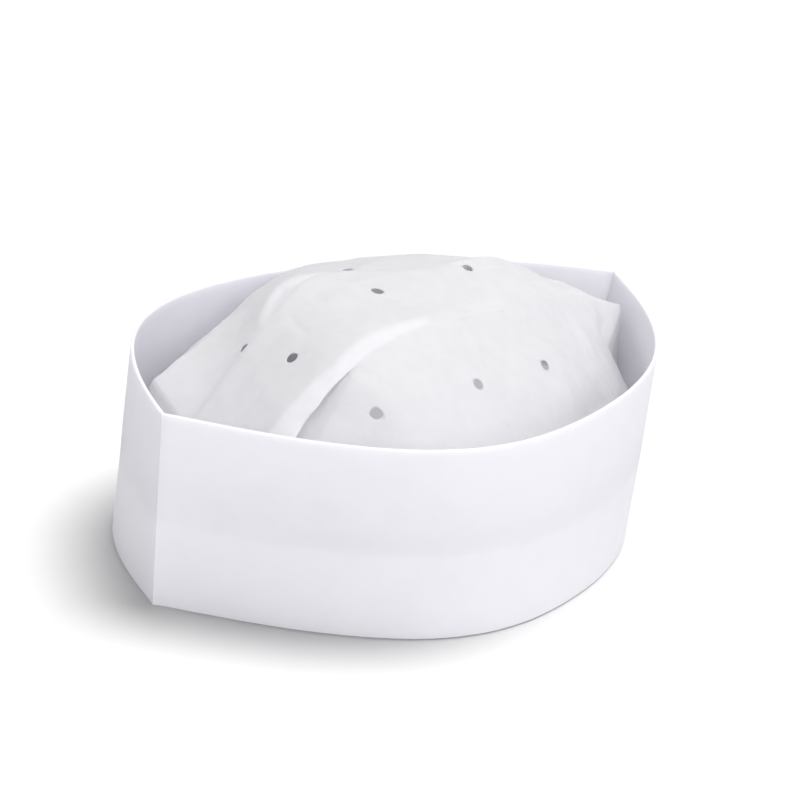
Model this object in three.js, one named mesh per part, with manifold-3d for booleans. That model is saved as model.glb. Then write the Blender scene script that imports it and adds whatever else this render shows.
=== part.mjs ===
// A folding paper cap: a creased band of doubled paper, and a thin pleated crown sheet set inside it.
// Millimetres, +Z up, the long axis along X. The origin is under the middle of the cap, at the height of the
// band's bottom edge.
import * as THREE from "three";
import { mergeVertices } from "three/addons/utils/BufferGeometryUtils.js";
import Module from "manifold-3d";

const wasm = await Module();
wasm.setup();

// Band: the outline of its rim, between a crease at each end of the long axis.
const rimLength = 229;
const nearBulge = 79;
const farBulge = 68.4;
const bandHeight = 67.4;
const rimOutline = {
  near: { bulge: nearBulge, power: 1.09, lean: -0.207, fullness: 0.627 },
  far: { bulge: farBulge, power: 1.03, lean: -0.231, fullness: 0.457 },
};
// The bottom edge is the rim's outline, a little shorter and sheared along the long axis.
const footLength = 216;
const footWidthShare = 0.995;
const footShear = -0.067;
const footShift = { x: -0.7, y: 1.4 };

// Band paper: an outer ply, folded over at the rim into a shorter inner ply.
const plyThickness = 0.45;
const plyGap = 0.2;
const foldRound = 0.3;
const foldDepth = 0.8;
const innerPlyDepth = 37.4;
const innerPlyEdge = bandHeight - innerPlyDepth;
const sideSteps = 30;

// Crown: a sheet of tissue with two lengthwise pleats, glued round the inside of the band's inner ply.
const crownRise = 21;
const crownReach = rimLength / 2;
const crownHalfWidth = (nearBulge + farBulge) / 2;
const sheetThickness = 0.6;
const glueGap = 0.3;
const seamInset = 1.5;
const seamWidth = 6.5;
const seamFoot = innerPlyEdge + seamInset;
const seamTop = seamFoot + seamWidth;
const layerGap = 1.3;
const crownSteps = 26;
// At a sharp fold the sheet's two faces part along its mean direction, by no more than this share allows.
const leastLean = 0.6;

// The two pleats: how far each folded edge covers the next panel, as shares of the half width, and how far that
// panel drops below it, as shares of the rise.
const pleats = {
  ridge: { coverLeft: 0.136, coverRight: 0.033, dropLeft: 0.095, dropRight: 0.033 },
  brow: { coverLeft: 0.176, coverRight: 0.033, dropLeft: 0.333, dropRight: 0.033 },
};

// Fold lines from the left end to the right, one row for each section: shares of the reach along X, of the
// half width along Y and of the rise above the rim. The edge is the far shoulder, the ridge the folded edge
// along the middle, and the brow the folded edge above the near panel.
const sections = [
  { edge: [-0.69, 0.502, -0.48], ridge: [-0.812, 0.15, -0.9], brow: [-0.812, -0.394, -0.57] },
  { edge: [-0.476, 0.57, -0.24], ridge: [-0.629, 0.163, -0.15], brow: [-0.624, -0.38, 0.26] },
  { edge: [-0.262, 0.658, -0.05], ridge: [-0.437, 0.163, 0.73], brow: [-0.49, -0.366, 0.63] },
  { edge: [-0.087, 0.746, 0.07], ridge: [-0.245, 0.204, 1.04], brow: [-0.236, -0.366, 0.87] },
  { edge: [0.122, 0.773, 0.14], ridge: [0.026, 0.054, 1.0], brow: [-0.013, -0.326, 0.71] },
  { edge: [0.367, 0.679, 0.05], ridge: [0.332, -0.016, 0.92], brow: [0.288, -0.28, 0.5] },
  { edge: [0.594, 0.461, -0.19], ridge: [0.606, -0.054, 0.29], brow: [0.624, -0.19, 0.14] },
  { edge: [0.82, 0.112, -0.52], ridge: [0.847, -0.081, -0.36], brow: [0.856, -0.204, -0.22] },
];

// Where the glued seam of each side starts and ends, as shares of the reach.
const seamSpan = {
  far: { left: -0.655, right: 0.61 },
  near: { left: -0.77, right: 0.52 },
};
// Where the folds come down on the seam at each end, as shares of the way round from far to near, and the step
// between neighbouring lines at either corner.
const endSeams = {
  left: { edge: 0.19, ridge: 0.46, brow: 0.82 },
  right: { edge: 0.36, ridge: 0.5, brow: 0.6 },
};
const cornerStep = 0.02;

// Panels between the folds: how many strips each has, and how far it puffs out towards its left and right, as
// shares of the rise.
const panels = {
  far: { strips: 2, puffLeft: 0.095, puffRight: 0.095 },
  strip: { strips: 4, puffLeft: -0.024, puffRight: 0.333 },
  top: { strips: 5, puffLeft: 0.114, puffRight: 0.095 },
  near: { strips: 4, puffLeft: 0.143, puffRight: 0.119 },
};

// Air holes: punched in lengthwise rows, one row for each line here. A row starts at a share of the reach, and
// each of its holes lies one pitch further on, at its own share of the panel's width.
const holeDiameter = 3.9;
const holeSides = 12;
const punchLength = 4 * sheetThickness;
const halvings = 24;
const holeRows = [
  { panel: "far", start: -0.332, pitch: 0.367, across: [0.45, 0.45, 0.45] },
  { panel: "strip", start: -0.507, pitch: 0.384, across: [0.7, 0.66, 0.6] },
  { panel: "top", start: -0.559, pitch: 0.384, across: [0.47, 0.44, 0.22] },
  { panel: "near", start: -0.472, pitch: 0.358, across: [0.31, 0.36, 0.37] },
  { panel: "near", start: -0.297, pitch: 0.358, across: [0.76, 0.76, 0.76] },
];

const bandPaper = new THREE.MeshStandardMaterial({ color: 0xf1f0f5, roughness: 0.75, metalness: 0 });
const crownTissue = new THREE.MeshStandardMaterial({ color: 0xf4f3f7, roughness: 0.85, metalness: 0 });

const rimDepth = plyThickness * 2 + plyGap;
const lerp = THREE.MathUtils.lerp;
const up = new THREE.Vector3(0, 0, 1);

// A point of the band's outer face: t runs from -1 at the left crease to 1 at the right one.
function bandPoint(side, t, z) {
  const { bulge, power, lean, fullness } = rimOutline[side];
  const swell = bulge * Math.max(0, 1 - t * t) ** power * (1 + lean * t + fullness * t * t);
  const x = (t * rimLength) / 2;
  const y = side === "near" ? -swell : swell;
  const footY = y * footWidthShare + footShift.y;
  const footX = (t * footLength) / 2 + footShift.x + footShear * footY;
  const share = z / bandHeight;
  return new THREE.Vector3(lerp(footX, x, share), lerp(footY, y, share), z);
}

// The whole outline at one height, counterclockwise from the left crease along the near side.
function outlineAt(z) {
  const steps = Array.from({ length: sideSteps }, (_, i) => -Math.cos((Math.PI * i) / sideSteps));
  const near = steps.map((t) => bandPoint("near", t, z));
  const far = steps.map((t) => bandPoint("far", -t, z));
  return [...near, ...far];
}

// The outline moved inwards by a distance, with mitred creases.
function insetOutline(z, inset) {
  const points = outlineAt(z);
  const count = points.length;
  return points.map((point, i) => {
    const before = edgeNormal(points[(i + count - 1) % count], point);
    const after = edgeNormal(point, points[(i + 1) % count]);
    const sum = before.clone().add(after);
    return point.clone().addScaledVector(sum, -inset / (1 + before.dot(after)));
  });
}

function edgeNormal(a, b) {
  return new THREE.Vector3(b.y - a.y, a.x - b.x, 0).normalize();
}

// A closed solid from a list of equal rings, each joined to the next and the last to the first.
function ringSolid(rings) {
  const count = rings[0].length;
  const points = rings.flat();
  const faces = [];
  rings.forEach((_, r) => {
    const low = r * count;
    const high = ((r + 1) % rings.length) * count;
    for (let i = 0; i < count; i += 1) {
      const j = (i + 1) % count;
      faces.push(low + i, low + j, high + j, low + i, high + j, high + i);
    }
  });
  return indexedGeometry(points, faces);
}

function indexedGeometry(points, faces) {
  const geometry = new THREE.BufferGeometry();
  const positions = points.flatMap((p) => [p.x, p.y, p.z]);
  geometry.setAttribute("position", new THREE.Float32BufferAttribute(positions, 3));
  geometry.setIndex(faces);
  return geometry;
}

// The band's section, round the outer ply, over the rim fold, down the inner ply and back up the slit.
function bandGeometry() {
  const section = [
    { z: 0, inset: 0 },
    { z: bandHeight - foldRound, inset: 0 },
    { z: bandHeight, inset: foldRound },
    { z: bandHeight, inset: rimDepth - foldRound },
    { z: bandHeight - foldRound, inset: rimDepth },
    { z: innerPlyEdge, inset: rimDepth },
    { z: innerPlyEdge, inset: plyThickness + plyGap },
    { z: bandHeight - foldDepth, inset: plyThickness + plyGap },
    { z: bandHeight - foldDepth, inset: plyThickness },
    { z: 0, inset: plyThickness },
  ];
  return ringSolid(section.map(({ z, inset }) => insetOutline(z, inset)));
}

// The line on the inside of the band that the crown sheet is glued to, as a closed loop of points.
function seamLoop(z) {
  return insetOutline(z, rimDepth + glueGap + sheetThickness / 2);
}

// The place on one side of that loop above a given x.
function seamAt(side, x, z) {
  const loop = seamLoop(z);
  const half = side === "near" ? loop.slice(0, sideSteps + 1) : [...loop.slice(sideSteps), loop[0]].reverse();
  const next = half.findIndex((p) => p.x >= x);
  const a = half[next - 1];
  const b = half[next];
  return a.clone().lerp(b, (x - a.x) / (b.x - a.x));
}

// The stretch of the loop round one end, from the far seam's end to the near seam's, at a share of its way.
function endSeamAt(end, share, z) {
  const loop = seamLoop(z);
  const from = seamAt("far", seamSpan.far[end] * crownReach, z);
  const to = seamAt("near", seamSpan.near[end] * crownReach, z);
  const outside = (p, limit) => (end === "left" ? p.x < limit.x : p.x > limit.x);
  const farPart = loop.slice(sideSteps + 1).filter((p) => outside(p, from));
  const nearPart = loop.slice(1, sideSteps).filter((p) => outside(p, to));
  const crease = end === "left" ? loop[0] : loop[sideSteps];
  const middle = [...farPart, crease, ...nearPart];
  if (end === "right") {
    middle.splice(0, middle.length, ...farPart.reverse(), crease, ...nearPart.reverse());
  }
  const route = [from, ...middle, to];
  const lengths = route.map((p, i) => (i ? p.distanceTo(route[i - 1]) : 0));
  const total = lengths.reduce((sum, length) => sum + length, 0);
  let left = share * total;
  let i = 1;
  while (i < route.length - 1 && left > lengths[i]) {
    left -= lengths[i];
    i += 1;
  }
  return route[i - 1].clone().lerp(route[i], Math.min(1, left / lengths[i]));
}

// A fold line as a smooth curve through its places in the table of sections.
function foldCurve(name) {
  const places = sections.map(
    (row) =>
      new THREE.Vector3(
        row[name][0] * crownReach,
        row[name][1] * crownHalfWidth,
        bandHeight + row[name][2] * crownRise,
      ),
  );
  return new THREE.CatmullRomCurve3(places, false, "centripetal");
}

const curves = { edge: foldCurve("edge"), ridge: foldCurve("ridge"), brow: foldCurve("brow") };

// The lines that a column of the sheet hangs on, part of the way from the left end to the right. Its pleats lie
// square to a direction that leans from one end over the top to the other.
function columnAt(u) {
  const farX = lerp(seamSpan.far.left, seamSpan.far.right, u) * crownReach;
  const nearX = lerp(seamSpan.near.left, seamSpan.near.right, u) * crownReach;
  return {
    u,
    outward: new THREE.Vector3(2 * u - 1, 0, 1).normalize(),
    farFoot: seamAt("far", farX, seamFoot),
    farSeam: seamAt("far", farX, seamTop),
    edge: curves.edge.getPoint(u),
    ridge: curves.ridge.getPoint(u),
    brow: curves.brow.getPoint(u),
    nearSeam: seamAt("near", nearX, seamTop),
    nearFoot: seamAt("near", nearX, seamFoot),
  };
}

// The column that lies on the seam at one end, at the seam's top or at its foot.
function endColumn(end, z) {
  const u = end === "left" ? 0 : 1;
  const shares = endSeams[end];
  const place = (share) => endSeamAt(end, share, z);
  const spread = z === seamFoot ? cornerStep : 0;
  const outward = new THREE.Vector3(end === "left" ? -1 : 1, 0, 0);
  return {
    u,
    outward,
    farFoot: endSeamAt(end, cornerStep + spread, seamFoot),
    farSeam: endSeamAt(end, 2 * cornerStep + spread, z),
    edge: place(shares.edge),
    ridge: place(shares.ridge),
    brow: place(shares.brow),
    nearSeam: endSeamAt(end, 1 - 2 * cornerStep - spread, z),
    nearFoot: endSeamAt(end, 1 - cornerStep - spread, seamFoot),
  };
}

// A pleat seen along a column: the folded edge, and the hidden fold behind it that the next panel starts from.
function pleat(name, column, from, towards) {
  const { coverLeft, coverRight, dropLeft, dropRight } = pleats[name];
  const fade = (1 - column.u) ** 2;
  const cover = lerp(coverRight, coverLeft, fade) * crownHalfWidth;
  const drop = lerp(dropRight, dropLeft, fade) * crownRise;
  const reach = Math.min(cover, from.distanceTo(towards) / 3);
  const along = towards.clone().sub(from).setLength(reach);
  const inward = (distance) => column.outward.clone().multiplyScalar(-distance);
  const hidden = from.clone().add(along);
  return {
    edge: from,
    underEdge: from.clone().add(inward(layerGap)),
    hiddenFold: hidden.clone().add(inward(layerGap + drop)),
    hiddenFoot: hidden.clone().add(inward(2 * layerGap + drop)),
  };
}

// How far a panel puffs out at a place: most along its middle, and not at all at either end.
function puffAt(name, u, across) {
  const { puffLeft, puffRight } = panels[name];
  const alongShare = 1 - (2 * u - 1) ** 4;
  return 4 * across * (1 - across) * alongShare * lerp(puffLeft, puffRight, u) * crownRise;
}

// The strips of one panel, from its first line up to, and not with, its last one.
function panelStrips(name, from, to, u) {
  const { strips } = panels[name];
  return Array.from({ length: strips }, (_, i) => {
    const share = i / strips;
    return from.clone().lerp(to, share).addScaledVector(up, puffAt(name, u, share));
  });
}

// One column of the sheet, from the far seam's foot over the crown to the near seam's foot.
function sheetColumn(column) {
  const { u, farFoot, farSeam, edge, ridge, brow, nearSeam, nearFoot } = column;
  const ridgePleat = pleat("ridge", column, ridge, brow);
  const browPleat = pleat("brow", column, brow, ridge);
  return [
    farFoot,
    ...panelStrips("far", farSeam, edge, u),
    ...panelStrips("strip", edge, ridgePleat.hiddenFoot, u),
    ridgePleat.hiddenFoot,
    ridgePleat.hiddenFold,
    ridgePleat.underEdge,
    ...panelStrips("top", ridge, brow, u),
    brow,
    browPleat.underEdge,
    browPleat.hiddenFold,
    ...panelStrips("near", browPleat.hiddenFoot, nearSeam, u),
    nearSeam,
    nearFoot,
  ];
}

// A thin solid about a grid of points, given as columns of equal length.
function sheetSolid(columns) {
  const rows = columns[0].length;
  const cell = (i, j) => {
    const across = columns[i][j + 1].clone().sub(columns[i + 1][j]);
    const along = columns[i + 1][j + 1].clone().sub(columns[i][j]);
    return across.cross(along).normalize();
  };
  const normals = columns
    .slice(1)
    .map((_, i) => Array.from({ length: rows - 1 }, (__, j) => cell(i, j)));
  const layer = (distance) =>
    columns.flatMap((column, i) =>
      column.map((point, j) => {
        const around = [
          [i - 1, j - 1],
          [i - 1, j],
          [i, j - 1],
          [i, j],
        ]
          .filter(([a, b]) => normals[a] && normals[a][b])
          .map(([a, b]) => normals[a][b]);
        const sum = around.reduce((total, n) => total.add(n), new THREE.Vector3());
        const mean = sum.normalize();
        const lean = around.reduce((total, n) => total + n.dot(mean), 0) / around.length;
        return point.clone().addScaledVector(mean, distance / Math.max(lean, leastLean));
      }),
    );
  const points = [...layer(sheetThickness / 2), ...layer(-sheetThickness / 2)];
  const under = columns.length * rows;
  const faces = [];
  const quad = (a, b, c, d) => faces.push(a, b, c, a, c, d);
  for (let i = 0; i < columns.length - 1; i += 1) {
    for (let j = 0; j < rows - 1; j += 1) {
      const a = i * rows + j;
      const b = a + 1;
      const c = b + rows;
      const d = a + rows;
      quad(a, b, c, d);
      quad(under + a, under + d, under + c, under + b);
    }
  }
  const wall = (a, b) => quad(b, a, under + a, under + b);
  for (let i = 0; i < columns.length - 1; i += 1) {
    wall((i + 1) * rows, i * rows);
    wall(i * rows + rows - 1, (i + 1) * rows + rows - 1);
  }
  const last = (columns.length - 1) * rows;
  for (let j = 0; j < rows - 1; j += 1) {
    wall(j, j + 1);
    wall(last + j + 1, last + j);
  }
  return indexedGeometry(points, faces);
}

function toManifold(geometry) {
  const bare = geometry.index ? geometry.clone() : geometry;
  bare.deleteAttribute("normal");
  bare.deleteAttribute("uv");
  const merged = mergeVertices(bare, 1e-4);
  return new wasm.Manifold(
    new wasm.Mesh({
      numProp: 3,
      vertProperties: new Float32Array(merged.attributes.position.array),
      triVerts: new Uint32Array(merged.index.array),
    }),
  );
}

function toGeometry(solid) {
  const mesh = solid.getMesh();
  const geometry = new THREE.BufferGeometry();
  geometry.setAttribute("position", new THREE.BufferAttribute(mesh.vertProperties, 3));
  geometry.setIndex(new THREE.BufferAttribute(mesh.triVerts, 1));
  return geometry;
}

// The lines that bound a panel in one column.
function panelLines(name, column) {
  const ridgePleat = pleat("ridge", column, column.ridge, column.brow);
  const browPleat = pleat("brow", column, column.brow, column.ridge);
  const lines = {
    far: [column.farSeam, column.edge],
    strip: [column.edge, ridgePleat.hiddenFoot],
    top: [column.ridge, column.brow],
    near: [browPleat.hiddenFoot, column.nearSeam],
  };
  return lines[name];
}

function panelPoint(name, u, across) {
  const column = columnAt(u);
  const [from, to] = panelLines(name, column);
  return from.clone().lerp(to, across).addScaledVector(up, puffAt(name, u, across));
}

// A round punch through one panel, square to the sheet, above a given x.
function punch(panel, across, x) {
  let low = 0;
  let high = 1;
  for (let step = 0; step < halvings; step += 1) {
    const middle = (low + high) / 2;
    if (panelPoint(panel, middle, across).x < x) low = middle;
    else high = middle;
  }
  const reach = 0.02;
  const centre = panelPoint(panel, low, across);
  const along = panelPoint(panel, low + reach, across).sub(panelPoint(panel, low - reach, across));
  const side = panelPoint(panel, low, across + reach).sub(panelPoint(panel, low, across - reach));
  const normal = side.cross(along).normalize();
  const pin = new THREE.CylinderGeometry(holeDiameter / 2, holeDiameter / 2, punchLength, holeSides);
  pin.applyQuaternion(new THREE.Quaternion().setFromUnitVectors(new THREE.Vector3(0, 1, 0), normal));
  pin.translate(centre.x, centre.y, centre.z);
  return toManifold(pin);
}

function crownGeometry() {
  const inner = Array.from({ length: crownSteps + 1 }, (_, i) => columnAt(i / crownSteps));
  const columns = [
    endColumn("left", seamFoot),
    endColumn("left", seamTop),
    ...inner,
    endColumn("right", seamTop),
    endColumn("right", seamFoot),
  ];
  let solid = toManifold(sheetSolid(columns.map(sheetColumn)));
  for (const { panel, start, pitch, across } of holeRows) {
    across.forEach((share, i) => {
      solid = solid.subtract(punch(panel, share, (start + i * pitch) * crownReach));
    });
  }
  return toGeometry(solid);
}

function part(name, geometry, material) {
  const mesh = new THREE.Mesh(geometry, material);
  mesh.name = name;
  return mesh;
}

const cap = new THREE.Group();
cap.add(part("band", bandGeometry(), bandPaper));
cap.add(part("crown", crownGeometry(), crownTissue));

// The outlines above are drawn about the line through the two creases, so the whole is centred here.
const middle = new THREE.Box3().setFromObject(cap).getCenter(new THREE.Vector3());
cap.position.set(-middle.x, -middle.y, 0);

export default cap;
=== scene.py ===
# the paper soda jerk hat: fine meshes of its two papers, their materials and the studio
import math

import bpy
import numpy as np
from mathutils import Matrix, Vector, noise


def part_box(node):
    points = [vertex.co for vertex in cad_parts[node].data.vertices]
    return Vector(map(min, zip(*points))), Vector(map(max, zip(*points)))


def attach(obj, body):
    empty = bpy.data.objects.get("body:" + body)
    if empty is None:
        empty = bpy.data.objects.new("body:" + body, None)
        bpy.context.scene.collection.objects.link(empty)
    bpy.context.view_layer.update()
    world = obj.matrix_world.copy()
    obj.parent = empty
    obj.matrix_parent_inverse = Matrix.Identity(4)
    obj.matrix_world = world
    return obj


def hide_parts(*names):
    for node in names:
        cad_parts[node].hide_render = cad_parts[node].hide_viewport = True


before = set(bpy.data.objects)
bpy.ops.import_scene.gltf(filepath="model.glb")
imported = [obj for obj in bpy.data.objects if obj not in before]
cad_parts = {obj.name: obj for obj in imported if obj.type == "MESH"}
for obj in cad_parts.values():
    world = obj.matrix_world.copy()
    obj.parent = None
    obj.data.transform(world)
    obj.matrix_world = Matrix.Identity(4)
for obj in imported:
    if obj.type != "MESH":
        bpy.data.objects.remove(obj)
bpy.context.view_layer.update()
mm = 0.001
print("stage: frame loaded, nodes", sorted(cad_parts))


# camera: where the photograph was taken from, aimed by two turns and a roll
cameraShot = {
    "place": (-0.88227, -0.69168, 0.49909),
    "turnDeg": -51.761,
    "elevationDeg": 22,
    "rollDeg": 6.897,
    "lens": 164.8,
    "clip": (0.05, 50),
}


def makeCamera():
    data = bpy.data.cameras.new("camera")
    data.lens = cameraShot["lens"]
    data.clip_start, data.clip_end = cameraShot["clip"]
    camera = bpy.data.objects.new("camera", data)
    turn = Matrix.Rotation(math.radians(cameraShot["turnDeg"]), 4, "Z")
    tilt = Matrix.Rotation(math.radians(90 - cameraShot["elevationDeg"]), 4, "X")
    roll = Matrix.Rotation(math.radians(cameraShot["rollDeg"]), 4, "Z")
    camera.matrix_world = Matrix.Translation(cameraShot["place"]) @ turn @ tilt @ roll
    bpy.context.scene.collection.objects.link(camera)
    bpy.context.scene.camera = camera


makeCamera()
print("stage: camera")


def mixed(a, b, share):
    return a + (b - a) * share


def unit(v):
    return v / np.maximum(np.linalg.norm(v, axis=-1, keepdims=True), 1e-9)


def tableValue(table, place):
    return np.interp(place, *zip(*table))


# the band: its sizes are the model's, apart from the wave of the paper and the numbers of steps
bandSizes = {
    "rimLength": 229 * mm,
    "height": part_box("band")[1].z,
    "near": {"bulge": 79 * mm, "power": 1.09, "lean": -0.207, "fullness": 0.627},
    "far": {"bulge": 68.4 * mm, "power": 1.03, "lean": -0.231, "fullness": 0.457},
    "footLength": 216 * mm,
    "footWidthShare": 0.995,
    "footShear": -0.067,
    "footShift": (-0.7 * mm, 1.4 * mm),
    "ply": 0.45 * mm,
    "plyGap": 0.2 * mm,
    "foldDepth": 0.8 * mm,
    "innerPlyDepth": 37.4 * mm,
    "sideSteps": 110,
    "heightSteps": {"outer": 30, "fold": 9, "inner": 16, "slitUp": 6, "slitDown": 20},
    "sharpDeg": 40,
    "wave": 0.22 * mm,
    "swells": ((1, 38 * mm, 1), (0.4, 15 * mm, 2)),  # the share, the length and the seed of each
    "rimWave": 0.35,  # the share of the wave that is left at the rim
    "stiffSteps": 14,  # how many steps from a crease the wave is whole
    "footLift": 0.5 * mm,
    "liftSteps": 6,
    "liftPower": 4,
}
rimDepth = bandSizes["ply"] * 2 + bandSizes["plyGap"]
innerPlyEdge = bandSizes["height"] - bandSizes["innerPlyDepth"]


def bandWall(side, t, z):
    # a point of the outer face: t runs from -1 at the left crease to 1 at the right one
    shape = bandSizes[side]
    swell = shape["bulge"] * np.clip(1 - t * t, 0, None) ** shape["power"]
    swell = swell * (1 + shape["lean"] * t + shape["fullness"] * t * t)
    x = t * bandSizes["rimLength"] / 2
    y = -swell if side == "near" else swell
    footY = y * bandSizes["footWidthShare"] + bandSizes["footShift"][1]
    footX = t * bandSizes["footLength"] / 2 + bandSizes["footShift"][0] + bandSizes["footShear"] * footY
    share = z / bandSizes["height"]
    return np.stack([footX + (x - footX) * share, footY + (y - footY) * share], -1)


def bandOutline(z):
    # counterclockwise from the left crease along the near side
    steps = -np.cos(np.pi * np.arange(bandSizes["sideSteps"]) / bandSizes["sideSteps"])
    return np.concatenate([bandWall("near", steps, z), bandWall("far", -steps, z)])


def insetOutline(z, inset):
    # the outline moved inwards, mitred at its creases; inset is one distance or one for each point
    points = bandOutline(z)
    after = np.roll(points, -1, 0) - points
    normal = np.stack([after[:, 1], -after[:, 0]], -1)
    normal /= np.linalg.norm(normal, axis=1, keepdims=True)
    before = np.roll(normal, 1, 0)
    spread = 1 + (before * normal).sum(1, keepdims=True)
    return points - (before + normal) / spread * np.reshape(inset, (-1, 1))


# the frame's origin lies under the middle of the band's box, while the outline is drawn about its creases
outlineShift = np.array([0.0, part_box("band")[1].y - bandOutline(0)[:, 1].max(), 0.0])
noiseSteps = (7.3, 3.1, 5.7)  # how far apart two seeds lie in the noise
noiseGain = 1.6


def meshObject(name, points, faces, sharpDeg):
    mesh = bpy.data.meshes.new(name)
    mesh.from_pydata([tuple(p) for p in points], [], faces)
    mesh.validate()
    mesh.polygons.foreach_set("use_smooth", [True] * len(mesh.polygons))
    mesh.set_sharp_from_angle(angle=math.radians(sharpDeg))
    thing = bpy.data.objects.new(name, mesh)
    bpy.context.scene.collection.objects.link(thing)
    return thing


def softNoise(points, size, seed):
    # smooth noise from about -1 to 1, with features of the given size
    offset = Vector([seed * step for step in noiseSteps])
    return np.array([noise.noise(Vector(p) / size + offset) for p in points]) * noiseGain


def bandSection():
    # round the outer ply, over the rim fold, down the inner ply and back up the slit between them
    steps = bandSizes["heightSteps"]
    ply = bandSizes["ply"]
    turn = rimDepth / 2
    bendFoot = bandSizes["height"] - turn
    slitTop = bandSizes["height"] - bandSizes["foldDepth"]
    bend = np.linspace(0, math.pi, steps["fold"])[1:-1]
    return [
        *((z, 0) for z in np.linspace(0, bendFoot, steps["outer"])),
        *((bendFoot + turn * math.sin(a), turn - turn * math.cos(a)) for a in bend),
        *((z, rimDepth) for z in np.linspace(bendFoot, innerPlyEdge, steps["inner"])),
        *((z, ply + bandSizes["plyGap"]) for z in np.linspace(innerPlyEdge, slitTop, steps["slitUp"])),
        *((z, ply) for z in np.linspace(slitTop, 0, steps["slitDown"])),
    ]


def makeBand():
    section = bandSection()
    steps = bandSizes["sideSteps"]
    count = 2 * steps
    # how many steps each point of a ring is from the nearer crease
    away = np.minimum(np.arange(count) % steps, -np.arange(count) % steps)
    points = []
    for z, inset in section:
        share = z / bandSizes["height"]
        ring = np.column_stack([bandOutline(z), np.full(count, z)])
        # the paper waves a little, least at the two creases and where it is folded over the rim
        free = mixed(bandSizes["rimWave"], 1, math.cos(math.pi / 2 * share))
        loose = np.clip(away / bandSizes["stiffSteps"], 0, 1) * free
        wave = sum(part * softNoise(ring, size, seed) for part, size, seed in bandSizes["swells"])
        edge = insetOutline(z, inset + bandSizes["wave"] * loose * wave)
        # between the two creases the bottom edge is a hair's breadth off the table
        lift = np.clip(away / bandSizes["liftSteps"], 0, 1) * (1 - share) ** bandSizes["liftPower"]
        points.append(np.column_stack([edge, z + bandSizes["footLift"] * lift]))
    points = np.concatenate(points) + outlineShift
    rings = len(section)
    faces = []
    for r in range(rings):
        low, high = r * count, (r + 1) % rings * count
        for i in range(count):
            j = (i + 1) % count
            faces.append((low + i, low + j, high + j, high + i))
    return meshObject("paper_band", points, faces, bandSizes["sharpDeg"])


# the crown: its folds are the model's, as shares of its reach, half width and rise; its pleats are flatter
crownSizes = {
    "reach": bandSizes["rimLength"] / 2,
    "halfWidth": (bandSizes["near"]["bulge"] + bandSizes["far"]["bulge"]) / 2,
    "rise": 21 * mm,
    "tissue": 0.22 * mm,
    "glueGap": 0.6 * mm,
    "seamFoot": innerPlyEdge + 1.5 * mm,
    "seamTop": innerPlyEdge + 8 * mm,
    "layerGap": 0.8 * mm,
    "columns": 232,
    "endColumns": 12,
    "cornerStep": 0.02,  # the share of an end's seam between two corners of the sheet
    "sharpDeg": 60,
}
# places of the three folds at eight cuts, from the left end to the right
foldSections = [
    {"edge": (-0.69, 0.502, -0.48), "ridge": (-0.812, 0.15, -0.9), "brow": (-0.812, -0.394, -0.57)},
    {"edge": (-0.476, 0.57, -0.24), "ridge": (-0.629, 0.163, -0.15), "brow": (-0.624, -0.38, 0.26)},
    {"edge": (-0.262, 0.658, -0.05), "ridge": (-0.437, 0.163, 0.73), "brow": (-0.49, -0.366, 0.63)},
    {"edge": (-0.087, 0.746, 0.07), "ridge": (-0.245, 0.204, 1.04), "brow": (-0.236, -0.366, 0.87)},
    {"edge": (0.122, 0.773, 0.14), "ridge": (0.026, 0.054, 1.0), "brow": (-0.013, -0.326, 0.71)},
    {"edge": (0.367, 0.679, 0.05), "ridge": (0.332, -0.016, 0.92), "brow": (0.288, -0.28, 0.5)},
    {"edge": (0.594, 0.461, -0.19), "ridge": (0.606, -0.054, 0.29), "brow": (0.624, -0.19, 0.14)},
    {"edge": (0.82, 0.112, -0.52), "ridge": (0.847, -0.081, -0.36), "brow": (0.856, -0.204, -0.22)},
]
# where the seam's long sides begin and end, and where the folds meet it round the two ends
seamSpan = {"far": (-0.655, 0.61), "near": (-0.77, 0.52)}
endSeams = {
    "left": {"edge": 0.19, "ridge": 0.46, "brow": 0.82},
    "right": {"edge": 0.36, "ridge": 0.5, "brow": 0.6},
}
# each pleat: how far it covers, how deep it drops, where it closes, and how its edges stand up along the way
pleatShares = {
    "ridge": {
        "cover": (0.136, 0.033),
        "drop": (0.095, 0.033),
        "open": (0.62, 0.9),
        "lip": ((0, 0.8), (0.15, 1.6), (0.4, 1.2), (0.6, 0)),
        "crest": ((0.5, 0), (0.68, 1.1), (0.88, 1.0), (1, 0)),
        "crestWidth": 7 * mm,
        "between": ("strip", "top"),
        "rows": 4,
    },
    "brow": {
        "cover": (0.12, 0.033),
        "drop": (0.12, 0.0),
        "open": (0.1, 0.31),
        "crest": ((0.24, 0), (0.34, 0.5), (0.45, 1.2), (0.6, 2.2), (0.88, 2.0), (1, 0)),
        "crestWidth": 10 * mm,
        "between": ("top", "near"),
        "rows": 5,
    },
}
# how far the hidden lines of a pleat lie beyond its edge where it is pressed flat
flatSteps = {"under": 0.25 * mm, "fold": 1.0 * mm, "foot": 1.25 * mm}
# the rows of each panel, and how far it puffs out at the left and at the right
panelSizes = {
    "far": {"rows": 15, "puff": (0.095, 0.095)},
    "strip": {"rows": 36, "puff": (-0.024, 0.333)},
    "top": {"rows": 56, "puff": (0.114, 0.095)},
    "near": {"rows": 58, "puff": (0.143, 0.119)},
}
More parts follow.
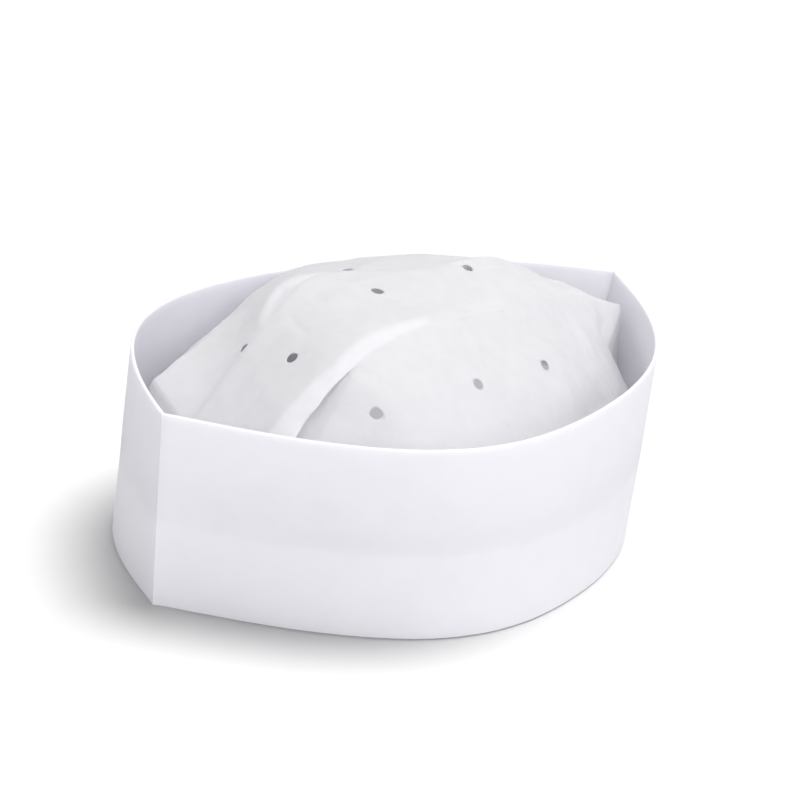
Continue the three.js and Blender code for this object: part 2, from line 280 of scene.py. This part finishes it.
# creases pressed into the panels: the line in shares along and across the panel, and in millimetres the
# height, the widths of the slopes before and after, and how wide beside it the tissue is painted lighter as a
# highlight; a width of 0 slopes on to the next fold
bevelLine = (
    *((0.01, 0.74), (0.08, 0.8), (0.16, 0.84), (0.225, 0.9)),
    *((0.27, 0.88), (0.33, 0.9), (0.4, 0.925), (0.47, 0.98)),
)
facetLine = ((0.245, 0.59), (0.28, 0.53), (0.325, 0.46), (0.37, 0.46), (0.42, 0.52), (0.5, 0.62))
recessLine = ((0.02, 0.34), (0.12, 0.22), (0.165, 0.15), (0.235, 0.06), (0.27, 0.02))
creases = [
    {"panel": "top", "height": 2.2, "widths": (16, 0), "highlightWidth": 30, "line": bevelLine},
    {"panel": "strip", "height": 1.9, "widths": (10, 3), "highlightWidth": 30, "line": facetLine},
    {"panel": "top", "height": -0.35, "widths": (2, 2.5), "line": ((0.29, 0.1), (0.27, 0.26), (0.262, 0.44))},
    {"panel": "top", "height": -0.5, "widths": (3, 3), "line": ((0.82, 0.62), (0.89, 0.55))},
    {"panel": "near", "height": 1.5, "widths": (4, 16), "line": recessLine},
    {"panel": "near", "height": -0.9, "widths": (4, 4), "line": ((0.91, 0.02), (0.962, 0.1), (0.945, 0.22))},
    {"panel": "near", "height": 0.7, "widths": (5, 5), "line": ((0.845, 0.18), (0.87, 0.42))},
    {"panel": "near", "height": -0.7, "widths": (2.5, 3), "line": ((0.5, 0.58), (0.54, 0.7))},
    {"panel": "near", "height": -1.8, "widths": (10, 7), "line": ((0.6, 0.72), (0.78, 0.69), (0.93, 0.62))},
    {"panel": "near", "height": 0.6, "widths": (9, 9), "line": ((0.4, 0.1), (0.5, 0.4), (0.72, 0.55))},
]
creaseShape = {
    "steps": 60,
    "endSteps": 10,  # over how many steps a crease rises at each end
    "endShare": 0.2,  # the share of its height that it has at the very end
    "hem": 1.5 * mm,
    "highlightEdge": 1.5 * mm,
    "highlightRise": 4,  # how many times faster the painted highlight comes in than the crease
}
notch = {
    "depth": 10 * mm,
    "across": ((0.03, 0), (0.27, 1), (0.38, 0.75), (0.6, 0.2), (0.85, 0)),
    "fade": ((0.84, 0), (1, 1), (1.6, 0.8), (2, 0)),
}
holeShape = {
    "diameter": 3.9 * mm,
    "tries": 400,
    "step": 0.01,
    "fill": 0.85,  # the part of the radius that whole cells are counted in
    "warp": (2.6, 1.6),  # how far the grid is drawn in and over what length that fades, in radii
}
# where the holes are: shares of the reach along, shares of the panel across
holeRows = [
    {"panel": "far", "along": (-0.332, 0.035, 0.402), "across": (0.45, 0.45, 0.45)},
    {"panel": "strip", "along": (-0.487, 0.004, 0.495), "across": (0.62, 0.54, 0.3)},
    {"panel": "top", "along": (-0.557, -0.195, 0.207), "across": (0.47, 0.45, 0.2)},
    {"panel": "near", "along": (-0.515, -0.156, 0.203), "across": (0.29, 0.36, 0.36)},
    {"panel": "near", "along": (-0.297, 0.061, 0.419), "across": (0.76, 0.76, 0.76)},
]


def foldLine(name, u):
    # a smooth centripetal curve through one fold's places in the table
    scale = np.array([crownSizes["reach"], crownSizes["halfWidth"], crownSizes["rise"]])
    base = np.array([0, 0, bandSizes["height"]])
    knots = np.array([row[name] for row in foldSections]) * scale + base
    knots = np.vstack([2 * knots[0] - knots[1], knots, 2 * knots[-1] - knots[-2]])
    place = u * (len(knots) - 3)
    i = np.minimum(place.astype(int), len(knots) - 4)
    s = (place - i)[:, None]
    p0, p1, p2, p3 = (knots[i + k] for k in range(4))
    pairs = ((p0, p1), (p1, p2), (p2, p3))
    d0, d1, d2 = (np.linalg.norm(b - a, axis=1, keepdims=True) ** 0.5 for a, b in pairs)
    m1 = ((p1 - p0) / d0 - (p2 - p0) / (d0 + d1) + (p2 - p1) / d1) * d1
    m2 = ((p2 - p1) / d1 - (p3 - p1) / (d1 + d2) + (p3 - p2) / d2) * d1
    return p1 + m1 * s + (3 * (p2 - p1) - 2 * m1 - m2) * s**2 + (2 * (p1 - p2) + m1 + m2) * s**3


def seamLoop(z):
    # the glued seam at one height, just inside the band
    edge = insetOutline(z, rimDepth + crownSizes["glueGap"])
    return np.column_stack([edge, np.full(len(edge), z)])


seamLoops = {z: seamLoop(z) for z in (crownSizes["seamTop"], crownSizes["seamFoot"])}


def seamPlace(side, share, z):
    # the place on one side of the glued seam at a share of the reach
    loop = seamLoops[z]
    steps = bandSizes["sideSteps"]
    half = loop[: steps + 1] if side == "near" else np.vstack([loop[steps:], loop[:1]])[::-1]
    x = share * crownSizes["reach"]
    return np.stack([x, np.interp(x, half[:, 0], half[:, 1]), np.full_like(x, z)], -1)


def endSeamPlace(end, share, z):
    # the stretch of the seam round one end, from the far side to the near side, at a share of its way
    loop = seamLoops[z]
    steps = bandSizes["sideSteps"]
    k, sign, corner = (0, 1, loop[0]) if end == "left" else (1, -1, loop[steps])
    start = seamPlace("far", np.array(seamSpan["far"][k]), z)
    stop = seamPlace("near", np.array(seamSpan["near"][k]), z)
    far = [p for p in loop[steps + 1 :] if sign * p[0] < sign * start[0]][::sign]
    near = [p for p in loop[1:steps] if sign * p[0] < sign * stop[0]][::sign]
    route = np.array([start, *far, corner, *near, stop])
    way = np.concatenate([[0], np.cumsum(np.linalg.norm(np.diff(route, axis=0), axis=1))])
    return np.array([np.interp(share * way[-1], way, route[:, c]) for c in range(3)])


def columnLines(u):
    # the lines that the sheet hangs on, at shares of the way from the left end to the right
    far = mixed(*seamSpan["far"], u)
    near = mixed(*seamSpan["near"], u)
    top, foot = crownSizes["seamTop"], crownSizes["seamFoot"]
    return {
        "outward": unit(np.stack([2 * u - 1, np.zeros_like(u), np.ones_like(u)], -1)),
        "farFoot": seamPlace("far", far, foot),
        "farSeam": seamPlace("far", far, top),
        "edge": foldLine("edge", u),
        "ridge": foldLine("ridge", u),
        "brow": foldLine("brow", u),
        "nearSeam": seamPlace("near", near, top),
        "nearFoot": seamPlace("near", near, foot),
    }


def endLines(end):
    # the same lines where they lie on the seam round one end
    top, foot = crownSizes["seamTop"], crownSizes["seamFoot"]
    step = crownSizes["cornerStep"]
    places = {
        "farFoot": (step, foot),
        "farSeam": (2 * step, top),
        "nearSeam": (1 - 2 * step, top),
        "nearFoot": (1 - step, foot),
    }
    places.update({name: (share, top) for name, share in endSeams[end].items()})
    lines = {name: endSeamPlace(end, share, height)[None] for name, (share, height) in places.items()}
    lines["outward"] = np.array([[-1.0 if end == "left" else 1.0, 0, 0]])
    return lines


def linesAt(s):
    # s is -1 to 0 over the left end, 0 to 1 along the crown and 1 to 2 over the right end
    lines = columnLines(np.clip(s, 0, 1))
    for end, share in (("left", np.clip(-s, 0, 1)), ("right", np.clip(s - 1, 0, 1))):
        seam = endLines(end)
        lines = {name: mixed(line, seam[name], share[:, None]) for name, line in lines.items()}
    lines["outward"] = unit(lines["outward"])
    return lines


def pleatLines(name, lines, u):
    # the folded edge, and the hidden folds behind it that the next panel starts from
    share = pleatShares[name]
    fade = (1 - u) ** 2
    cover = mixed(share["cover"][1], share["cover"][0], fade) * crownSizes["halfWidth"]
    drop = mixed(share["drop"][1], share["drop"][0], fade) * crownSizes["rise"]
    edge = lines[name]
    behind, ahead = ("brow", "edge") if name == "ridge" else ("ridge", "nearSeam")
    way = lines[behind] - edge
    # a pleat covers no more than a third of the way to the next fold
    reach = np.minimum(cover, np.linalg.norm(way, axis=1) / 3)
    # towards the right end the pleat is pressed flat into a plain crease
    depth = 1 - np.clip((u - share["open"][0]) / (share["open"][1] - share["open"][0]), 0, 1)
    depth = (depth * depth * (3 - 2 * depth))[:, None]
    inward = -lines["outward"] * depth
    step = unit(lines[ahead] - edge) * (1 - depth)
    hidden = edge + unit(way) * reach[:, None] * depth
    gap = crownSizes["layerGap"]
    return {
        "edge": edge,
        "under": edge + inward * gap + step * flatSteps["under"],
        "fold": hidden + inward * (gap + drop)[:, None] + step * flatSteps["fold"],
        "foot": hidden + inward * (2 * gap + drop)[:, None] + step * flatSteps["foot"],
    }


def panelPoint(panel, s, across):
    # places on one panel between its two lines, with the panel's puff
    lines = linesAt(s)
    u = np.clip(s, 0, 1)
    ridge = pleatLines("ridge", lines, u)
    brow = pleatLines("brow", lines, u)
    start, stop = {
        "far": (lines["farSeam"], lines["edge"]),
        "strip": (lines["edge"], ridge["foot"]),
        "top": (lines["ridge"], lines["brow"]),
        "near": (brow["foot"], lines["nearSeam"]),
    }[panel]
    left, right = panelSizes[panel]["puff"]
    puff = 4 * across * (1 - across) * (1 - (2 * u - 1) ** 4) * mixed(left, right, u) * crownSizes["rise"]
    places = mixed(start, stop, across[:, None])
    places[:, 2] += puff
    if panel == "near":
        # the folded end bites into the near panel's right edge
        places[:, 0] -= notch["depth"] * tableValue(notch["across"], across) * tableValue(notch["fade"], s)
    return places


def overEnds(s):
    # pleat edges and creases fade out over the folded ends
    return np.clip(1.5 - np.abs(s - 0.5), 0, 1)


def creaseHeight(panel, s, across, places):
    # how far creases and pleat edges raise or sink each point of a panel, and where its tissue gets a painted
    # highlight
    shape = creaseShape
    u = np.clip(s, 0, 1)
    start = panelPoint(panel, s, np.zeros_like(s))
    stop = panelPoint(panel, s, np.ones_like(s))
    span = np.linalg.norm(stop - start, axis=1)
    fromStart, fromStop = across * span, (1 - across) * span
    height = np.zeros(len(places))
    paintedHighlight = np.zeros(len(places))
    for share in pleatShares.values():
        before, after = share["between"]
        apart = {before: fromStop, after: fromStart}.get(panel)
        if apart is not None:
            rise = tableValue(share["crest"], u)
            if panel == after and "lip" in share:
                rise = rise + tableValue(share["lip"], u)
            height += rise * mm * np.clip(1 - apart / share["crestWidth"], 0, 1)
    hem = np.clip(np.minimum(fromStart, fromStop) / shape["hem"], 0, 1)
    for crease in (c for c in creases if c["panel"] == panel):
        knots = np.array(crease["line"], float)
        way = np.linspace(0, len(knots) - 1, shape["steps"])
        line = np.stack([np.interp(way, np.arange(len(knots)), knots[:, k]) for k in (0, 1)])
        apart = np.linalg.norm(places[:, None] - panelPoint(panel, *line)[None], axis=2)
        nearest = apart.argmin(1)
        apart = apart.min(1)
        before, after = (width * mm for width in crease["widths"])
        slopes = np.where(
            across < line[1][nearest],
            1 - apart / before,
            1 - apart / after if after else fromStop / (fromStop + apart),
        )
        ends = np.clip(np.minimum(nearest, shape["steps"] - 1 - nearest) / shape["endSteps"], 0, 1)
        # painted highlight: beside the bevel and the sliver creases the tissue is marked to be painted
        # lighter
        if "highlightWidth" in crease:
            beyond = np.clip((across - line[1][nearest]) * span / shape["highlightEdge"], 0, 1)
            beside = (apart < crease["highlightWidth"] * mm) * np.clip(shape["highlightRise"] * ends, 0, 1)
            paintedHighlight = np.maximum(paintedHighlight, beyond * beside)
        height += crease["height"] * mm * np.clip(slopes, 0, 1) * mixed(shape["endShare"], 1, ends) * hem
    return height * overEnds(s), paintedHighlight


def punchWarp(panel, s, across):
    # draws the grid of one panel onto each hole's circle, and gives the cells inside the circles
    s, across = s.copy(), across.copy()
    cut = np.zeros((s.shape[0] - 1, s.shape[1] - 1), bool)
    radius = holeShape["diameter"] / 2
    step = holeShape["step"]
    tries = np.linspace(0, 1, holeShape["tries"])
    warpReach, warpFade = holeShape["warp"]
    for row in (r for r in holeRows if r["panel"] == panel):
        for place, share in zip(row["along"], row["across"]):
            x = place * crownSizes["reach"]
            u = np.interp(x, panelPoint(panel, tries, np.full_like(tries, share))[:, 0], tries)
            around = panelPoint(
                panel,
                np.array([u - step, u + step, u, u]),
                np.array([share, share, share - step, share + step]),
            )
            along = np.linalg.norm(around[1] - around[0]) / (2 * step)
            over = np.linalg.norm(around[3] - around[2]) / (2 * step)
            i0 = int(np.abs(s[:, 0] - u).argmin())
            j0 = int(np.abs(across[0] - share).argmin())
            ki = max(2, round(holeShape["fill"] * radius / ((s[i0 + 1, 0] - s[i0, 0]) * along)))
            kj = max(2, round(holeShape["fill"] * radius / ((across[0, j0 + 1] - across[0, j0]) * over)))
            i, j = np.meshgrid(np.arange(s.shape[0]) - i0, np.arange(s.shape[1]) - j0, indexing="ij")
            ring = np.maximum(np.abs(i) / ki, np.abs(j) / kj)
            pull = np.clip((warpReach - ring) / warpFade, 0, 1)
            angle = np.arctan2(j / kj, i / ki)
            s = mixed(s, u + radius * ring * np.cos(angle) / along, pull)
            across = mixed(across, share + radius * ring * np.sin(angle) / over, pull)
            cut[i0 - ki : i0 + ki, j0 - kj : j0 + kj] = True
    return s, across, cut


def crownGrid():
    # the sheet as columns by rows, from the far seam over both pleats to the near seam: the places along it,
    # the points, the punched cells, the heights of the creases and where it gets a painted highlight
    ends = np.linspace(0, 1, crownSizes["endColumns"] + 1)
    inner = np.linspace(0, 1, crownSizes["columns"] + 1)
    s = np.concatenate([ends[:-1] - 1, inner, ends[1:] + 1])
    lines = linesAt(s)
    u = np.clip(s, 0, 1)
    ridge = pleatLines("ridge", lines, u)
    brow = pleatLines("brow", lines, u)
    parts = []
    cuts = []
    heights = []
    paintedHighlights = []

    def addRows(rows, cut=None, height=None, paintedHighlight=None):
        parts.append(rows)
        cuts.append(np.zeros((len(s) - 1, rows.shape[1]), bool) if cut is None else cut)
        heights.append(np.zeros(rows.shape[:2]) if height is None else height)
        paintedHighlights.append(np.zeros(rows.shape[:2]) if paintedHighlight is None else paintedHighlight)

    def addPanel(panel):
        across = np.arange(panelSizes[panel]["rows"] + 1) / panelSizes[panel]["rows"]
        grid = np.meshgrid(s, across, indexing="ij")
        warped, shares, cut = punchWarp(panel, *grid)
        places = panelPoint(panel, warped.ravel(), shares.ravel())
        height, paintedHighlight = creaseHeight(panel, warped.ravel(), shares.ravel(), places)
        cut = np.column_stack([cut, np.zeros(len(s) - 1, bool)])
        size = warped.shape
        addRows(places.reshape(*size, 3), cut, height.reshape(size), paintedHighlight.reshape(size))

    def addBetween(a, b, pleat):
        # the hidden layer of a pleat
        count = pleatShares[pleat]["rows"]
        shares = np.arange(count + 1) / count
        places = mixed(a[:, None], b[:, None], shares[None, :, None])
        rise = tableValue(pleatShares[pleat]["crest"], u) * mm * overEnds(s)
        addRows(places, height=np.repeat(rise[:, None], count + 1, 1))

    addRows(lines["farFoot"][:, None])
    addPanel("far")
    # the far panel's last row is the strip's first one
    for rows in (parts, cuts, heights, paintedHighlights):
        rows[-1] = rows[-1][:, :-1]
    addPanel("strip")
    addBetween(ridge["fold"], ridge["under"], "ridge")
    addPanel("top")
    addBetween(brow["under"], brow["fold"], "brow")
    addPanel("near")
    addRows(lines["nearFoot"][:, None])
    return s, *(np.concatenate(rows, 1) for rows in (parts, cuts, heights, paintedHighlights))


def gridNormals(points):
    along = np.gradient(points, axis=0)
    over = np.gradient(points, axis=1)
    return unit(np.cross(along, -over))


crumpleSizes = {
    "facets": ((24 * mm, 1.4 * mm), (9 * mm, 0.4 * mm)),  # how wide and how deep, for each of two sizes
    "drift": 0.3,
    "driftSeeds": (4, 5, 6),
    "swell": (30 * mm, 0.35 * mm),
    "swellSeed": 8,
    "middle": 0.45,  # the mean of a facet's height, taken off so that the sheet stays in its place
    "edgeRows": 8,  # over how many rows it fades at each seam
    "endStretch": (3, 0.5),  # where it ends beyond the middle, in half lengths, and over what stretch
}


def crumple(points):
    # shallow flat facets that meet in creases, at two sizes, over a slow swell
    size = crumpleSizes
    flat = points.reshape(-1, 3)
    widest = size["facets"][0][0]
    drift = size["drift"] * np.column_stack([softNoise(flat, widest, seed) for seed in size["driftSeeds"]])
    wide, deep = size["swell"]
    heights = softNoise(flat, wide, size["swellSeed"]) * deep
    for wide, deep in size["facets"]:
        cells = np.array([noise.voronoi(Vector(place))[0][0] for place in flat / wide + drift])
        heights = heights + (cells - size["middle"]) * deep
    return heights.reshape(points.shape[:2])


def makeCrown():
    s, points, cut, height, paintedHighlight = crownGrid()
    cut = cut[:, :-1]
    row = np.arange(points.shape[1])
    free = np.clip(np.minimum(row, row[::-1]) / crumpleSizes["edgeRows"], 0, 1)
    endPlace, stretch = crumpleSizes["endStretch"]
    inside = np.clip((endPlace - np.abs(2 * s - 1)) / stretch, 0, 1)
    height = height + crumple(points) * free[None] * inside[:, None]
    points = points + gridNormals(points) * height[..., None]
    columns, rows = points.shape[:2]
    faces = []
    for i in range(columns - 1):
        for j in range(rows - 1):
            if not cut[i, j]:
                a = i * rows + j
                faces.append((a, a + 1, a + rows + 1, a + rows))
    # points inside the holes belong to no face and are dropped
    flat = points.reshape(-1, 3) + outlineShift
    used = np.zeros(len(flat), bool)
    used[np.array(faces).ravel()] = True
    index = np.cumsum(used) - 1
    faces = [tuple(int(index[v]) for v in face) for face in faces]
    crown = meshObject("tissue_crown", flat[used], faces, crownSizes["sharpDeg"])
    # the mask of the painted highlight goes to the material
    highlightAttribute = crown.data.attributes.new("paintedHighlight", "FLOAT", "POINT")
    highlightAttribute.data.foreach_set("value", paintedHighlight.ravel()[used].astype(np.float32))
    bpy.context.view_layer.objects.active = crown
    thick = crown.modifiers.new("thickness", "SOLIDIFY")
    thick.thickness = crownSizes["tissue"]
    thick.offset = 0
    thick.use_rim = True
    bpy.ops.object.modifier_apply(modifier="thickness")
    return crown


bandPiece = makeBand()
print("stage: band,", len(bandPiece.data.polygons), "faces")
crownPiece = makeCrown()
print("stage: crown,", len(crownPiece.data.polygons), "faces")


def mathOf(tree, operation, *values):
    # a maths node fed by sockets and plain numbers
    node = tree.nodes.new("ShaderNodeMath")
    node.operation = operation
    for socket, value in zip(node.inputs, values):
        if isinstance(value, bpy.types.NodeSocket):
            tree.links.new(value, socket)
        else:
            socket.default_value = value
    return node.outputs[0]


def toneOver(tree, value, span, tones):
    # a tone that goes smoothly from one to the other over a span of the value
    node = tree.nodes.new("ShaderNodeMapRange")
    node.interpolation_type = "SMOOTHSTEP"
    for name, setting in zip(("From Min", "From Max", "To Min", "To Max"), (*span, *tones)):
        node.inputs[name].default_value = setting
    tree.links.new(value, node.inputs["Value"])
    return node.outputs[0]


def placeOn(tree):
    # the place in the piece's own frame, in metres
    return tree.nodes.new("ShaderNodeTexCoord").outputs["Object"]


# paper fibre: fine cloudy tone and tooth, shared by both papers
grainDetail = {"cloud": 3, "tooth": 4}
perMetre = 1000  # millimetres in a metre: a size in millimetres becomes a scale


def makePaperGrain():
    group = bpy.data.node_groups.new("paperGrain", "ShaderNodeTree")
    for name in ("Cloud Size", "Cloud Amount", "Tooth Size", "Stretch"):
        group.interface.new_socket(name, in_out="INPUT", socket_type="NodeSocketFloat")
    for name in ("Tone", "Height"):
        group.interface.new_socket(name, in_out="OUTPUT", socket_type="NodeSocketFloat")
    nodes, links = group.nodes, group.links
    inputs = nodes.new("NodeGroupInput").outputs
    outputs = nodes.new("NodeGroupOutput").inputs
    place = placeOn(group)
    stretch = nodes.new("ShaderNodeCombineXYZ")
    stretch.inputs["X"].default_value = 1
    stretch.inputs["Y"].default_value = 1
    links.new(inputs["Stretch"], stretch.inputs["Z"])
    stretched = nodes.new("ShaderNodeVectorMath")
    stretched.operation = "MULTIPLY"
    links.new(place, stretched.inputs[0])
    links.new(stretch.outputs["Vector"], stretched.inputs[1])

    def noiseOf(kind, vector, size):
        node = nodes.new("ShaderNodeTexNoise")
        node.inputs["Detail"].default_value = grainDetail[kind]
        links.new(vector, node.inputs["Vector"])
        links.new(mathOf(group, "DIVIDE", perMetre, size), node.inputs["Scale"])
        return node.outputs["Fac"]

    cloud = mathOf(group, "SUBTRACT", noiseOf("cloud", place, inputs["Cloud Size"]), 0.5)
    links.new(mathOf(group, "MULTIPLY_ADD", cloud, inputs["Cloud Amount"], 1), outputs["Tone"])
    links.new(noiseOf("tooth", stretched.outputs["Vector"], inputs["Tooth Size"]), outputs["Height"])
    return group


# both papers: sizes of the grain in millimetres, amounts and tones as shares
paperGrain = makePaperGrain()
bandFinish = {
    "colour": (0.922, 0.917, 0.943),
    "roughness": 0.62,
    "specular": 0.25,
    "through": 0.5,
    "grain": {"Cloud Size": 9, "Cloud Amount": 0.035, "Tooth Size": 0.45, "Stretch": 0.35},
    "bump": 0.05 * mm,
    # how much lighter the painted show-through light makes the single paper
    "showThroughTone": 1.012,
    "plyEdge": (-0.5 * mm, 0.3 * mm),
    # how much paler the painted highlight on the rim fold makes the paper
    "rimHighlightTone": 1.08,
    "rimDepth": 0.9 * mm,
    "rimHighlightWhole": 0.3,  # the share of that depth where the painted highlight is whole
}
crownFinish = {
    "colour": (0.885, 0.883, 0.897),
    "roughness": 0.75,
    "specular": 0.25,
    "through": 0.5,
    "grain": {"Cloud Size": 5, "Cloud Amount": 0.06, "Tooth Size": 0.6, "Stretch": 1},
    "bump": 0.08 * mm,
    # how much lighter the painted highlight beside the bevel and the sliver makes the tissue
    "highlightTone": 0.058,
    "foldSize": 3.2,
    "foldSmoothness": 0.35,
    "foldDepth": 0.12 * mm,
}


def paperMaterial(name, finish):
    # a diffuse sheet that lets part of the light through, with the grain on its colour and surface
    material = bpy.data.materials.new(name)
    material.use_nodes = True
    nodes, links = material.node_tree.nodes, material.node_tree.links
    nodes.clear()
    output = nodes.new("ShaderNodeOutputMaterial")
    shader = nodes.new("ShaderNodeBsdfPrincipled")
    shader.inputs["Roughness"].default_value = finish["roughness"]
    shader.inputs["Specular IOR Level"].default_value = finish["specular"]
    through = nodes.new("ShaderNodeBsdfTranslucent")
    blend = nodes.new("ShaderNodeMixShader")
    blend.inputs["Fac"].default_value = finish["through"]
    links.new(shader.outputs[0], blend.inputs[1])
    links.new(through.outputs[0], blend.inputs[2])
    links.new(blend.outputs[0], output.inputs["Surface"])
    grain = nodes.new("ShaderNodeGroup")
    grain.node_tree = paperGrain
    for setting, value in finish["grain"].items():
        grain.inputs[setting].default_value = value
    tint = nodes.new("ShaderNodeVectorMath")
    tint.operation = "SCALE"
    tint.inputs[0].default_value = finish["colour"]
    links.new(tint.outputs["Vector"], shader.inputs["Base Color"])
    links.new(tint.outputs["Vector"], through.inputs["Color"])
    bump = nodes.new("ShaderNodeBump")
    bump.inputs["Strength"].default_value = 1
    bump.inputs["Distance"].default_value = finish["bump"]
    links.new(grain.outputs["Height"], bump.inputs["Height"])
    links.new(bump.outputs["Normal"], shader.inputs["Normal"])
    sockets = {"tone": grain.outputs["Tone"], "scale": tint.inputs["Scale"], "normal": bump.inputs["Normal"]}
    return material, sockets


def makeBandPaper():
    material, sockets = paperMaterial("bandPaper", bandFinish)
    tree = material.node_tree
    axes = tree.nodes.new("ShaderNodeSeparateXYZ")
    tree.links.new(placeOn(tree), axes.inputs[0])
    # painted light: below the inner ply's edge the paper is single, and it is painted a touch lighter for the
    # light that shines through it
    edgeSpan = [innerPlyEdge + step for step in bandFinish["plyEdge"]]
    paintedShowThrough = toneOver(tree, axes.outputs["Z"], edgeSpan, (bandFinish["showThroughTone"], 1))
    # painted highlight: the fold over the rim is painted a little paler, as where light catches its top
    rimHighlightSpan = [bandSizes["height"] - bandFinish["rimDepth"] * share for share in (1, bandFinish["rimHighlightWhole"])]
    rimHighlight = toneOver(tree, axes.outputs["Z"], rimHighlightSpan, (1, bandFinish["rimHighlightTone"]))
    tone = mathOf(tree, "MULTIPLY", mathOf(tree, "MULTIPLY", sockets["tone"], paintedShowThrough), rimHighlight)
    tree.links.new(tone, sockets["scale"])
    return material


def makeCrownTissue():
    material, sockets = paperMaterial("crownTissue", crownFinish)
    tree = material.node_tree
    # small handling creases, finer than the mesh holds
    folds = tree.nodes.new("ShaderNodeTexVoronoi")
    folds.feature = "SMOOTH_F1"
    folds.inputs["Smoothness"].default_value = crownFinish["foldSmoothness"]
    folds.inputs["Scale"].default_value = perMetre / crownFinish["foldSize"]
    tree.links.new(placeOn(tree), folds.inputs["Vector"])
    pressed = tree.nodes.new("ShaderNodeBump")
    pressed.inputs["Distance"].default_value = crownFinish["foldDepth"]
    pressed.inputs["Strength"].default_value = 1
    tree.links.new(folds.outputs["Distance"], pressed.inputs["Height"])
    tree.links.new(pressed.outputs["Normal"], sockets["normal"])
    # painted highlight: beside the bevel and the sliver the tissue is painted whiter, as where light falls on
    # them
    highlightAttribute = tree.nodes.new("ShaderNodeAttribute")
    highlightAttribute.attribute_name = "paintedHighlight"
    whiter = mathOf(tree, "MULTIPLY_ADD", highlightAttribute.outputs["Fac"], crownFinish["highlightTone"], 1)
    tree.links.new(mathOf(tree, "MULTIPLY", sockets["tone"], whiter), sockets["scale"])
    return material


bandPiece.data.materials.append(makeBandPaper())
crownPiece.data.materials.append(makeCrownTissue())
for piece, node, slot in ((bandPiece, "band", "band_paper"), (crownPiece, "crown", "crown_tissue")):
    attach(piece, "root")
    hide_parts(node)
print("stage: papers")


# studio: a wide pale floor under a soft lamp of its own, a faint even room and a ring of large soft lights
studio = {
    "floorSize": 12,
    "floorDrop": 0.05 * mm,
    "floorColour": (0.76, 0.76, 0.76, 1),
    "floorRoughness": 0.9,
    "roomColour": (1, 1, 1, 1),
    "roomLight": 0.43,
}
floorLamp = {"softDeg": 30, "power": 2.95, "towards": (0.24, -0.05, 0.97)}
ringSoftDeg = 50
ringLights = {
    "frontLight": {"power": 1.88, "towards": (-0.643, -0.507, 0.574)},
    "rearLight": {"power": 1.08, "towards": (0.25, 0.75, 0.61)},
    "rightLight": {"power": 0.9, "towards": (0.42, -0.486, 0.766)},
    "sideLight": {"power": 0.92, "towards": (0.644, -0.745, 0.174)},
    "backLight": {"power": 0.42, "towards": (0.75, -0.05, 0.66)},
    "leftLight": {"power": 0.15, "towards": (-0.462, 0.535, 0.707)},
}


def makeLight(name, lit, power, towards, softDeg=ringSoftDeg):
    # a soft far lamp that lights only the objects in one collection
    light = bpy.data.lights.new(name, "SUN")
    light.energy = power
    light.angle = math.radians(softDeg)
    lamp = bpy.data.objects.new(name, light)
    lamp.matrix_world = Vector(towards).to_track_quat("Z", "Y").to_matrix().to_4x4()
    lamp.light_linking.receiver_collection = lit
    bpy.context.scene.collection.objects.link(lamp)


def litGroup(name, things):
    group = bpy.data.collections.new(name)
    for thing in things:
        group.objects.link(thing)
    return group


def makeStudio():
    mesh = bpy.data.meshes.new("floor")
    half = studio["floorSize"] / 2
    corners = [(-half, -half, 0), (half, -half, 0), (half, half, 0), (-half, half, 0)]
    mesh.from_pydata(corners, [], [(0, 1, 2, 3)])
    floor = bpy.data.objects.new("floor", mesh)
    floor.location.z = -studio["floorDrop"]
    bpy.context.scene.collection.objects.link(floor)
    material = bpy.data.materials.new("studioFloor")
    material.use_nodes = True
    shader = material.node_tree.nodes["Principled BSDF"]
    shader.inputs["Base Color"].default_value = studio["floorColour"]
    shader.inputs["Roughness"].default_value = studio["floorRoughness"]
    shader.inputs["Specular IOR Level"].default_value = 0
    mesh.materials.append(material)

    world = bpy.data.worlds.new("room")
    world.use_nodes = True
    room = world.node_tree.nodes["Background"]
    room.inputs["Color"].default_value = studio["roomColour"]
    room.inputs["Strength"].default_value = studio["roomLight"]
    bpy.context.scene.world = world
    makeLight("floorLamp", litGroup("litFloor", [floor]), **floorLamp)
    litPapers = litGroup("litPapers", [bandPiece, crownPiece])
    for name, sizes in ringLights.items():
        makeLight(name, litPapers, **sizes)


makeStudio()
bpy.context.scene.view_settings.view_transform = "Standard"
print("stage: studio")
